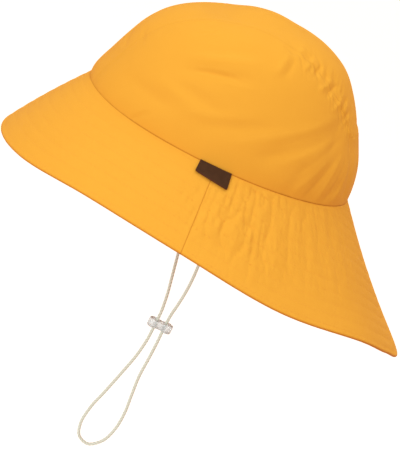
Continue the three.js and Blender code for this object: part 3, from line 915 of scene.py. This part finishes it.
@dataclass
class Crown:
    """The crown: two side panels and the strip over the top, sewn edge to edge."""

    form: HatForm
    front_corner_share: float = 0.985
    side_steps: tuple[int, int, int] = (216, 48, 92)
    strip_steps: tuple[int, int] = (60, 270)
    seam_dip: float = 0.07 * MM
    seam_reach: float = 1.5 * MM
    # Painted shade beside every sewn edge and along the head seam
    seam_shade: float = 0.06
    shade_reach: float = 0.5 * MM
    head_seam_shade: float = 0.55
    head_seam_reach: float = 0.4 * MM
    head_seam_top: float = 4 * MM
    rest_pull: float = 0.12
    pucker_height: float = 1.5 * MM
    pucker_pitch: float = 4.0 * MM
    pucker_length: float = 15.0 * MM
    pucker_reach: float = 11.0 * MM
    slack_height: float = 0.8 * MM
    slack_pitch: float = 26 * MM
    # Three places as angle and lift in degrees, then height and width in millimetres
    fine_folds: tuple[tuple[float, ...], ...] = (
        (61, 30, 72, 34, 83, 36, -1.15, 1.25),
        (69, 36, 78, 38, 90, 42, 0.35, 3.0),
        (58, 35, 72, 40, 90, 46, 0.5, 3.5),
        (72, 31, 82, 33, 96, 36, 0.35, 2.6),
        (54, 37, 70, 44, 90, 51, -0.45, 3.2),
        (47, 44, 53, 48, 59, 51, -0.3, 0.8),
        (36, 13, 53, 13, 66, 12, -0.55, 4.0),
        (48, 20, 66, 18, 80, 15, 0.5, 4.0),
        (58, 22, 72, 22, 84, 19, -0.55, 3.4),
        (67, 13, 80, 18, 96, 24, 0.45, 3.6),
        (76, 11, 91, 18, 106, 25, -0.55, 4.0),
        (88, 9, 118, 26, 156, 42, 0.6, 3.6),
        (98, 8, 126, 22, 158, 38, -0.4, 3.2),
        (112, 10, 129, 22, 150, 34, 0.3, 2.6),
        (120, 8, 133, 20, 150, 31, -0.3, 2.2),
        (123, 1, 130, 11, 142, 23, 0.38, 2.2),
        (129, 0, 135, 10, 146, 24, -0.38, 2.0),
        (137, 1, 141, 12, 148, 23, 0.3, 1.9),
        (142, 1, 147, 12, 152, 22, -0.3, 1.8),
        (147, 1, 152, 10, 156, 22, 0.4, 2.0),
        (104, 58, 101, 50, 98, 44, 0.8, 1.9),
        (110, 57, 106, 50, 103, 44, -0.7, 1.6),
        (108, 54, 114, 60, 121, 64, 0.9, 2.6),
        (114, 50, 120, 55, 126, 58, 0.9, 1.7),
        (121, 49, 127, 54, 133, 57, -0.9, 1.3),
        (125, 45, 132, 48, 139, 52, 0.9, 1.7),
        (131, 43, 137, 47, 143, 50, -0.9, 1.3),
        (136, 38, 144, 43, 150, 47, 0.9, 1.6),
        (142, 37, 149, 42, 154, 45, -0.8, 1.3),
        (144, 32, 151, 36, 157, 39, 0.7, 1.5),
        (50, 0, 53, 3, 56, 7, -0.8, 1.1),
        (2, 27, 10, 23, 18, 20, -0.5, 2.2),
        (12, 34, 20, 30, 28, 27, -0.4, 2.2),
        (-60, 33, -75, 37, -90, 38, -0.8, 1.8),
        (-50, 14, -66, 15, -80, 13, -0.5, 3.8),
        (-92, 9, -122, 25, -154, 38, 0.7, 3.4),
        (-102, 8, -126, 21, -156, 34, -0.6, 3.0),
        (-122, 2, -131, 11, -144, 22, 0.5, 2.4),
        (-131, 1, -137, 11, -148, 22, -0.5, 2.0),
        (-106, 56, -102, 49, -99, 43, 0.8, 2.0),
        (-121, 49, -127, 54, -133, 57, -0.9, 1.4),
        (-131, 43, -137, 47, -143, 50, 0.8, 1.6),
        (-141, 37, -148, 41, -154, 44, -0.8, 1.4),
        (172, 2, 174, 12, 170, 24, -0.6, 2.2),
        (-168, 2, -166, 12, -170, 22, -0.5, 2.2),
        (164, 30, 180, 33, 196, 30, -0.4, 2.5),
    )

    def gaps(self) -> tuple[float, float]:
        """Half the gap of the sewn edges on the disc, beside the strip and at its end."""
        form = self.form
        return form.sewn_gap / form.half_width / 2, form.sewn_gap / form.height / 2

    def surface(self, across: Array, along: Array) -> tuple[Array, Array, Array]:
        """The folded crown.

        Args:
            across: place on the crown's disc, from right to left.
            along: place on the disc, from front to back.

        Returns:
            Plain points, folded points and normals.
        """
        plain = self.form.crown_on_disc(across, along)
        normals = normals_of(self.form.crown_on_disc, across, along)
        folded = plain - normals * self.form.fold_sum(plain)[..., None]
        return plain, folded, normals

    def creases(self, points: Array) -> Array:
        """Height of the finer folds.

        Each runs through its three places along eight straight steps of a parabola. Its height
        times a bell of the distance to that line over its width fades to nothing at both ends,
        like the sine of half a turn.

        Args:
            points: places on the plain crown.

        Returns:
            The height at each place, in metres, below nothing in a groove.
        """
        total = np.zeros(points.shape[:-1])
        t = np.linspace(0, 1, 9)[:, None]
        weights = ((1 - t) * (1 - 2 * t), 4 * t * (1 - t), t * (2 * t - 1))
        for *places, height, width in self.fine_folds:
            three = np.radians(places).reshape(3, 2)
            angle, lift = sum(w * place for w, place in zip(weights, three)).T
            path = self.form.crown_point(angle, lift)
            start, step = path[:-1], np.diff(path, axis=0)
            offset = points[..., None, :] - start
            share = np.clip((offset * step).sum(-1) / (step**2).sum(-1), 0, 1)
            away = np.linalg.norm(offset - share[..., None] * step, axis=-1)
            nearest = away.argmin(-1)[..., None]
            run = np.take_along_axis(share, nearest, -1)[..., 0] + nearest[..., 0]
            fade = np.sin(math.pi * np.clip(run / len(step), 0, 1)) ** 0.7
            away = np.take_along_axis(away, nearest, -1)[..., 0]
            total += MM * height * fade * bell(away, MM * width)
        return total

    def relief(self, plain: Array, seam: Array, along_seam: Array, edge: Array, pull: Array) -> Array:
        """Soft relief of the cloth.

        Wide slack noise, puffs between puckers that run square to the strip's seam and fade
        away from it, and a dip beside every edge.

        Args:
            plain: points of the plain crown.
            seam: distance to the strip's seam.
            along_seam: place along that seam.
            edge: distance to the nearest edge.
            pull: how strongly the seam puckers there.

        Returns:
            Height above the folded crown, in metres.
        """
        x, y, z = np.moveaxis(plain / self.slack_pitch, -1, 0)
        wide, tall = SoftNoise(11)(x + 9, y + 5), SoftNoise(12)(y + 7, z + 3)
        slack = self.slack_height * 0.5 * (wide + tall)
        puffs = SoftNoise(21).puffs(along_seam / self.pucker_pitch, seam / self.pucker_length + 4)
        pucker = self.pucker_height * pull * puffs * bell(seam, self.pucker_reach)
        pucker *= 1 - bell(seam, 0.7 * self.seam_reach)
        held = 1 - bell(edge, 3 * self.seam_reach)
        dip = -self.seam_dip * bell(edge, self.seam_reach)
        return slack * held + pucker + dip + self.creases(plain)

    def finish_wall(self, folded: Array, normals: Array, relief: Array, edge: Array) -> Wall:
        """Lift the folded crown by its relief and mark the painted shade along its seams."""
        height = folded[..., 2]
        # Painted shade: darkest at the head seam, fainter beside the panels' other edges
        low = self.head_seam_shade * bell(height, self.head_seam_reach)
        beside = self.seam_shade * bell(edge, self.shade_reach)
        painted_shade = np.maximum(beside, low * (height < self.head_seam_top))
        lifted = folded + normals * relief[..., None]
        return Wall(lifted, normals, self.form.crown_wall, marks={"painted_shade": painted_shade})

    def side(self, side: int) -> Wall:
        """One side panel.

        Its columns start on the strip's seam, from the front corner to the strip's end and along
        that end to the centre of the back, and each runs straight out on the disc to the brim.

        Args:
            side: 1 on the wearer's left, -1 on the right.

        Returns:
            The panel's wall.
        """
        form = self.form
        gap, end_gap = self.gaps()
        front_half = float(form.strip_half(np.float64(-1)))
        end_half = float(form.strip_half(np.float64(form.strip_end)))
        front_corner = -self.front_corner_share * math.sqrt(1 - front_half**2)
        corner = math.sqrt(form.strip_end**2 - end_half**2)
        beside, under, down = self.side_steps
        along = np.linspace(front_corner, corner, beside + 1)
        across = form.strip_half(along) + gap
        angle = np.arctan2(across, -along)
        rest = np.linspace(angle[-1], math.pi - gap, under + 1)[1:]
        angle = np.concatenate([angle, rest])
        radius = np.concatenate([np.hypot(across, along), np.full(under, form.strip_end + end_gap)])
        if side < 0:
            angle, radius = angle[::-1], radius[::-1]
        share = rim_steps(down, (0, 0.002, 0.006, 0.013, 0.022))[::-1]
        out = radius[:, None] + (1 - radius[:, None]) * share[None, :]
        across, along = side * out * np.sin(angle)[:, None], -out * np.cos(angle)[:, None]
        plain, folded, normals = self.surface(across, along)
        down_length = reach(plain, 1)
        seam = to_end(down_length, 1)
        edge = Wall(plain, normals, form.crown_wall).distances()
        along_seam = np.broadcast_to(reach(plain, 0)[:, -1:], seam.shape)
        degrees = np.degrees(angle)[:, None]
        behind = smooth_between(degrees, 96, 112) * (1 - 0.5 * smooth_between(degrees, 150, 170))
        pull = np.broadcast_to(self.rest_pull + (1 - self.rest_pull) * behind, seam.shape)
        relief = self.relief(plain, seam, along_seam, edge, pull)
        return self.finish_wall(folded, normals, relief, edge)

    def strip(self) -> Wall:
        """The strip from the front seam over the top to its end behind."""
        form = self.form
        gap, end_gap = self.gaps()
        across_steps, along_steps = self.strip_steps
        side = 2 * rim_steps(across_steps, (0, 0.003, 0.008, 0.017)) - 1
        share = rim_steps(along_steps, (0, 0.0007, 0.002, 0.004))

        def edge_at(radius: float, sign: int) -> Array:
            """Where each column meets a circle of the disc."""
            half = form.strip_half(np.float64(sign * radius)) - gap
            return sign * np.sqrt(radius**2 - (side * half) ** 2)

        start, end = edge_at(1.0, -1), edge_at(form.strip_end - end_gap, 1)
        along = start[:, None] + (end - start)[:, None] * share[None, :]
        across = side[:, None] * (form.strip_half(along) - gap)
        plain, folded, normals = self.surface(across, along)
        sideways = reach(plain, 0)
        seam = np.minimum(sideways, to_end(sideways, 0))
        edge = Wall(plain, normals, form.crown_wall).distances()
        pull = self.rest_pull + (1 - self.rest_pull) * smooth_between(along, 0.05, 0.3)
        # The left seam reads the noise half a metre further on, so that both sides differ
        along_seam = reach(plain, 1) + 0.5 * (across > 0)
        relief = self.relief(plain, seam, along_seam, edge, pull)
        return self.finish_wall(folded, normals, relief, edge)

    def build(self, finish: bpy.types.Material) -> list[bpy.types.Object]:
        """Make the three panels."""
        made = []
        for name, node, wall, flat, area in (
            ("crown_strip_sewn", "crown_strip", self.strip(), (0.078, 0.255), 0.0148),
            ("crown_left_sewn", "crown_left", self.side(1), (0.285, 0.115), 0.0169),
            ("crown_right_sewn", "crown_right", self.side(-1), (0.285, 0.115), 0.0169),
        ):
            piece = dress(wall.build(name), finish, node)
            hold = Cloth.STRETCHED if node == "crown_strip" else Cloth.HUNG
            made.append(name)
        return [bpy.data.objects[name] for name in made]


@dataclass
class SeamAllowance:
    """The brim's sewn-in edge, turned up inside the crown along the head seam."""

    form: HatForm
    above: float = 7 * MM
    below: float = 4 * MM
    thickness: float = 0.8 * MM
    clearance: float = 0.12 * MM
    # Painted shade over the allowance inside the crown, darker at the head seam
    shade: float = 0.15
    seam_shade: float = 0.5
    seam_reach: float = 0.4 * MM
    steps: tuple[int, int] = (480, 14)

    def inner_point(self, angle: Array, height: Array) -> Array:
        """Inside of the crown above the seam, and straight down from there below it."""
        lift = np.arcsin(np.clip(height / self.form.height, 0, 1))
        plain = self.form.crown_point(angle, lift)
        inside = plain - self.outwards(plain) * (self.form.crown_wall + self.clearance)
        inside[..., 2] += np.minimum(height, 0)
        return inside

    def outwards(self, points: Array) -> Array:
        """Level directions away from the middle of the opening."""
        return unit(points * np.array([1.0, 1.0, 0.0]))

    def build(self, finish: bpy.types.Material) -> bpy.types.Object:
        """Make the closed wall once round the head, with its two ends meeting in front."""
        gap = self.form.sewn_gap / self.form.half_width / 2
        angle = np.linspace(gap, 2 * math.pi - gap, self.steps[0] + 1)
        height = np.linspace(-self.below, self.above, self.steps[1] + 1)
        angle, height = np.meshgrid(angle, height, indexing="ij")
        points = self.inner_point(angle, height)
        points -= self.outwards(points) * self.form.fold_sum(points)[..., None]
        wall = Wall(points, normals_of(self.inner_point, angle, height), self.thickness)
        # Painted shade, marked for the cloth's material
        wall.marks["painted_shade"] = self.shade + self.seam_shade * (np.abs(height) < self.seam_reach)
        return dress(wall.build("head_seam_allowance"), finish)


@dataclass
class Brim:
    """The quilted brim: two layers stitched together in rows, puckered behind the side seams."""

    form: HatForm
    front_steps: tuple[int, int] = (300, 92)
    back_steps: tuple[int, int] = (372, 118)
    hem: float = 4.0 * MM
    row_pitch: float = 8.2 * MM
    puff: float = 0.75 * MM
    side_puff_share: float = 0.12
    front_puff_share: float = 0.5
    # Painted shade along the head seam, the side seams and the hem
    head_seam_reach: float = 0.36 * MM
    head_seam_shade: float = 0.8
    side_seam_reach: float = 0.24 * MM
    side_seam_dip: float = 0.12 * MM
    side_seam_shade: float = 0.6
    seam_fade: float = 0.55
    hem_shade: float = 0.55
    hem_reach: float = 0.7 * MM
    pucker_height: float = 1.7 * MM
    pucker_arc: float = 5.2 * MM
    pucker_length: float = 20 * MM
    mean_radius: float = 112 * MM
    side_seam_angle: float = 90.0
    label_half_angle: float = 9.0
    label_reach: float = 15 * MM
    bare_half_angle: float = 7.0
    bare_reach: float = 14 * MM
    stitch_length: float = 2.1 * MM
    stitch_pitch: float = 2.9 * MM
    thread_radius: float = 0.14 * MM
    row_margin: float = 2.5 * MM

    def edge_distance(self, angle: Array, share: Array) -> Array:
        """Distance to the brim's outer edge along the cloth."""
        return (1 - share) * self.form.brim_width(angle)

    def quilting(self, angle: Array, share: Array) -> Array:
        """Half the extra thickness between the stitch rows.

        It is a root of the absolute sine of the distance from the edge over the row pitch, less
        its mean, so the cloth is full between the rows and pinched on them. It is fullest behind,
        less so in front, and faint at the sides.

        Args:
            angle: round the opening, in radians.
            share: of the brim's width.

        Returns:
            The puff in metres.
        """
        phase = (self.edge_distance(angle, share) - self.hem) / self.row_pitch
        arch = np.abs(np.sin(math.pi * phase))
        last = smooth_between(phase, -0.5, -0.28)
        arch = np.where(phase < 0, 1 - (1 - arch) * last, arch)
        ahead = (self.front_puff_share - self.side_puff_share) * np.clip(np.cos(angle), 0, 1) ** 12
        behind = (1 - self.side_puff_share) * np.clip(-np.cos(angle), 0, 1) ** 12
        full = self.side_puff_share + ahead + behind
        return self.puff * full * (arch**0.5 - 0.75)

    def puckers(self, angle: Array, share: Array) -> Array:
        """Radial puckers.

        Long puffs between narrow creases run out from the seam, bent sideways by a wider noise.
        Shorter ones lie over them. They are strongest behind the side seams and on the inner
        part of the brim, and faint elsewhere.

        Args:
            angle: round the opening, in radians.
            share: of the brim's width.

        Returns:
            Height above the plain brim, in metres.
        """
        degrees = from_front(angle)
        out = share * self.form.brim_width(angle)
        arc = angle * self.mean_radius / self.pucker_arc
        bend = 0.4 * SoftNoise(30)(arc / 5, out / self.pucker_length + 11)
        long = SoftNoise(31).puffs(arc + bend + 60, out / self.pucker_length + 3)
        short = SoftNoise(32).puffs(1.7 * arc - bend + 90, 2.2 * out / self.pucker_length + 30)
        soft = SoftNoise(33)(arc / 2.5 + 40, out / self.pucker_length + 20)
        behind = smooth_between(degrees, 76, 100) * (1 - 0.72 * smooth_between(degrees, 107, 128))
        behind = behind * (1 - 0.7 * smooth_between(degrees, 135, 165))
        inner = 1 - 0.88 * smooth_between(share, 0.58, 0.92)
        strength = 0.05 + 0.95 * behind * inner
        aside = np.abs(np.degrees(angle) - self.side_seam_angle) / self.label_half_angle
        beside_label = smooth_between(aside, 0.8, 1.2)
        below_label = smooth_between(out / self.label_reach, 0.8, 1.2)
        under_label = 1 - (1 - beside_label) * (1 - below_label)
        height = self.pucker_height * strength * (0.8 * long + 0.55 * short + 0.35 * soft)
        edges = smooth_between(share, 0, 0.05) * (1 - 0.6 * smooth_between(share, 0.93, 1.0))
        return height * under_label * edges

    def place(self, angle: Array, share: Array) -> tuple[Array, Array, Array]:
        """The brim's outer face.

        Args:
            angle: round the opening, in radians.
            share: of the brim's width.

        Returns:
            Points, normals and puff.
        """
        normals = normals_of(lambda u, v: self.form.brim_point(v, u), share, angle)
        rise = self.form.gathers(angle, share) + self.puckers(angle, share)
        points = self.form.brim_point(angle, share) + normals * rise[..., None]
        return points, normals, self.quilting(angle, share)

    def half(self, start: float, end: float, steps: tuple[int, int]) -> Wall:
        """Half of the brim between two angles given in degrees from the front."""
        gap = self.form.sewn_gap / self.form.half_length / 2
        turn = rim_steps(steps[0], (0, 0.0004, 0.0011, 0.0024))
        angle = np.radians(start) + gap + (np.radians(end - start) - 2 * gap) * turn
        share = rim_steps(steps[1], (0, 0.0015, 0.004, 0.008, 0.014))[::-1]
        angle, share = np.meshgrid(angle, share, indexing="ij")
        points, normals, puff = self.place(angle, share)
        outer = self.edge_distance(angle, share)
        inner = share * self.form.brim_width(angle)
        sides = np.minimum(reach(points, 0), to_end(reach(points, 0), 0))
        # Painted shade of the head seam, weaker in front and behind
        fade = 1 - self.seam_fade * np.cos(angle) ** 4
        head_seam = bell(inner, self.head_seam_reach) * fade
        side_seam = bell(sides, self.side_seam_reach)
        nearest = np.minimum(inner, np.minimum(sides, outer))
        puff = puff * smooth_between(nearest, 0, self.row_margin)
        puff -= self.side_seam_dip * bell(sides, 2 * self.side_seam_reach)
        painted_shade = self.head_seam_shade * head_seam + self.side_seam_shade * side_seam
        painted_shade += self.hem_shade * bell(outer, self.hem_reach)
        marks = {"painted_shade": np.clip(painted_shade, 0, 1)}
        return Wall(points, normals, self.form.brim_wall, outer, puff, marks)

    def row_places(self, start: float, end: float, distance: float) -> tuple[Array, Array]:
        """Middles of the stitches of one row.

        Args:
            start: first angle of the half, in degrees.
            end: last angle, in degrees.
            distance: of the row from the brim's edge.

        Returns:
            Angle and share of each stitch's middle, where the row lies on the brim.
        """
        angle = np.radians(np.linspace(start + 0.4, end - 0.4, 1500))
        share = 1 - distance / self.form.brim_width(angle)
        run = reach(self.form.brim_point(angle, share), 0)
        at = np.arange(self.stitch_pitch, run[-1] - self.stitch_pitch, self.stitch_pitch)
        angle, share = np.interp(at, run, angle), np.interp(at, run, share)
        out = share * self.form.brim_width(angle)
        aside = np.abs(np.degrees(angle) - self.side_seam_angle)
        under_label = (aside < self.bare_half_angle) & (out < self.bare_reach)
        kept = (out > self.row_margin) & ~under_label
        return angle[kept], share[kept]

    def stitches(self, name: str, start: float, end: float, face: int) -> bpy.types.Object:
        """Thread of all rows on one face of one half.

        Each stitch is a short spindle: rings of five points round its line, thin at both ends,
        which bows out of the cloth in the middle.

        Args:
            name: of the piece.
            start: first angle of the half, in degrees.
            end: last angle, in degrees.
            face: 1 for the upper face, -1 for the lower.

        Returns:
            One mesh with all stitches.
        """
        rows = np.arange(self.hem, self.form.brim_width(np.float64(math.pi)), self.row_pitch)
        places = [self.row_places(start, end, distance) for distance in rows]
        angle = np.concatenate([a for a, _ in places])
        share = np.concatenate([s for _, s in places])
        points, normals, puff = self.place(angle, share)
        turn = 2e-4
        width = self.form.brim_width(angle)
        ahead_share = 1 - (1 - share) * width / self.form.brim_width(angle + turn)
        ahead = unit(self.place(angle + turn, ahead_share)[0] - points)
        sideways = np.cross(normals, ahead)
        radius = self.form.brim_wall / 2
        middle = points - normals * radius + face * normals * (radius + puff)[:, None]
        reach_along = np.array([-0.5, -0.32, 0.0, 0.32, 0.5]) * self.stitch_length
        bow = np.array([-0.9, 0.0, 0.2, 0.0, -0.9]) * self.thread_radius
        thick = np.array([0.25, 0.9, 1.0, 0.9, 0.25]) * self.thread_radius
        corner = np.linspace(0, 2 * math.pi, 5, endpoint=False)
        rings = (
            middle[:, None, None, :]
            + reach_along[None, :, None, None] * ahead[:, None, None, :]
            + (face * bow)[None, :, None, None] * normals[:, None, None, :]
            + thick[None, :, None, None]
            * (
                np.cos(corner)[None, None, :, None] * sideways[:, None, None, :]
                + np.sin(corner)[None, None, :, None] * normals[:, None, None, :]
            )
        )
        index = np.arange(rings[..., 0].size).reshape(rings.shape[:3])
        turned = np.roll(index, -1, axis=2)
        quads = np.stack([index[:, :-1], turned[:, :-1], turned[:, 1:], index[:, 1:]], -1)
        caps = []
        for ring, order in ((0, (4, 3, 2, 1, 0)), (-1, (0, 1, 2, 3, 4))):
            loop = index[:, ring][:, list(order)]
            caps += [loop[:, [0, 1, 2]], loop[:, [0, 2, 3]], loop[:, [0, 3, 4]]]
        return build_mesh(name, rings.reshape(-1, 3), quads.reshape(-1, 4), np.concatenate(caps))

    def build(
        self,
        finish: bpy.types.Material,
        thread: bpy.types.Material,
        crown: Sequence[bpy.types.Object],
        allowance: bpy.types.Object,
    ) -> None:
        """Make both halves and their stitches.

        Args:
            finish: the cloth's material.
            thread: the stitches' material.
            crown: the pieces that the brim hangs from; not used.
            allowance: the brim's edge inside the crown.
        """
        for node, start, end, steps, hold, flat, area in (
            ("brim_front", -90, 90, self.front_steps, Cloth.HUNG, (0.330, 0.150), 0.0228),
            ("brim_back", 90, 270, self.back_steps, Cloth.GATHERED, (0.430, 0.200), 0.0333),
        ):
            quilted = self.half(start, end, steps).build(f"{node}_quilted")
            piece = dress(quilted, finish, node)
            rows = [allowance] if node == "brim_front" else []
            for face, word in ((1, "upper"), (-1, "lower")):
                sewn = self.stitches(f"{node}_stitches_{word}", start, end, face)
                rows.append(dress(sewn, thread))


@dataclass
class Label:
    """The bare leather label, sewn into the seam over the wearer's left side seam."""

    form: HatForm
    width: float = 22 * MM
    drop: float = 9.8 * MM
    drop_behind: float = 12.2 * MM
    thickness: float = 1.2 * MM
    corner: float = 1.1 * MM
    bow: float = 0.25 * MM
    edge_reach: float = 0.45 * MM
    steps: tuple[int, int] = (72, 34)

    def build(self, finish: bpy.types.Material) -> bpy.types.Object:
        """Lay a slightly bowed leather wall on the brim, with its lower corners clipped round."""
        half = self.width / self.form.half_length / 2
        turn = rim_steps(self.steps[0], (0, 0.004, 0.011, 0.024))
        down = rim_steps(self.steps[1], (0, 0.009, 0.025, 0.055))[::-1]
        turn, down = np.meshgrid(turn, down, indexing="ij")
        out = np.abs(2 * turn - 1)
        side_room = (1 - out) * self.width / 2
        clipped = np.clip(1 - side_room / self.corner, 0, 1)
        drop = self.drop + (self.drop_behind - self.drop) * turn
        pulled = self.corner * (1 - np.sqrt(1 - clipped**2)) / drop
        share = down * (1 - pulled) * drop / self.form.brim_width(np.float64(math.pi / 2))
        angle = math.pi / 2 + (2 * turn - 1) * half
        normals = normals_of(lambda u, v: self.form.brim_point(v, u), share, angle)
        stand = self.form.seam_gap + self.thickness + self.bow * down**2
        points = self.form.brim_point(angle, share) + normals * stand[..., None]
        wall = Wall(points, normals, self.thickness)
        edge = wall.distances()
        wall.free_edge = edge
        wall.marks["edge"] = bell(edge, self.edge_reach)
        return dress(wall.build("label_leather"), finish, "label")


@dataclass
class CordLock:
    """The clear lock on the cord, carried over from the frame with its own finish."""

    node: str = "cord_lock"

    def build(self, finish: bpy.types.Material) -> bpy.types.Object:
        """Dress the frame's own piece."""
        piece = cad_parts[self.node]
        piece.data.materials.clear()
        piece.data.materials.append(finish)
        LOG.info("cord lock dressed")
        return piece


def main() -> None:
    """Build the studio and the hat."""
    logging.basicConfig(level=logging.INFO)
    Studio().build()
    form = HatForm()
    lock = CordLock().build(ClearPlastic().material())
    ChinCord().build(TwistedCotton().material(), lock)
    cloth = WovenCotton().material()
    crown = Crown(form).build(cloth)
    allowance = SeamAllowance(form).build(cloth)
    Brim(form).build(cloth, SewingThread().material(), crown, allowance)
    Label(form).build(DarkLeather().material())


if __name__ == "__main__":
    main()
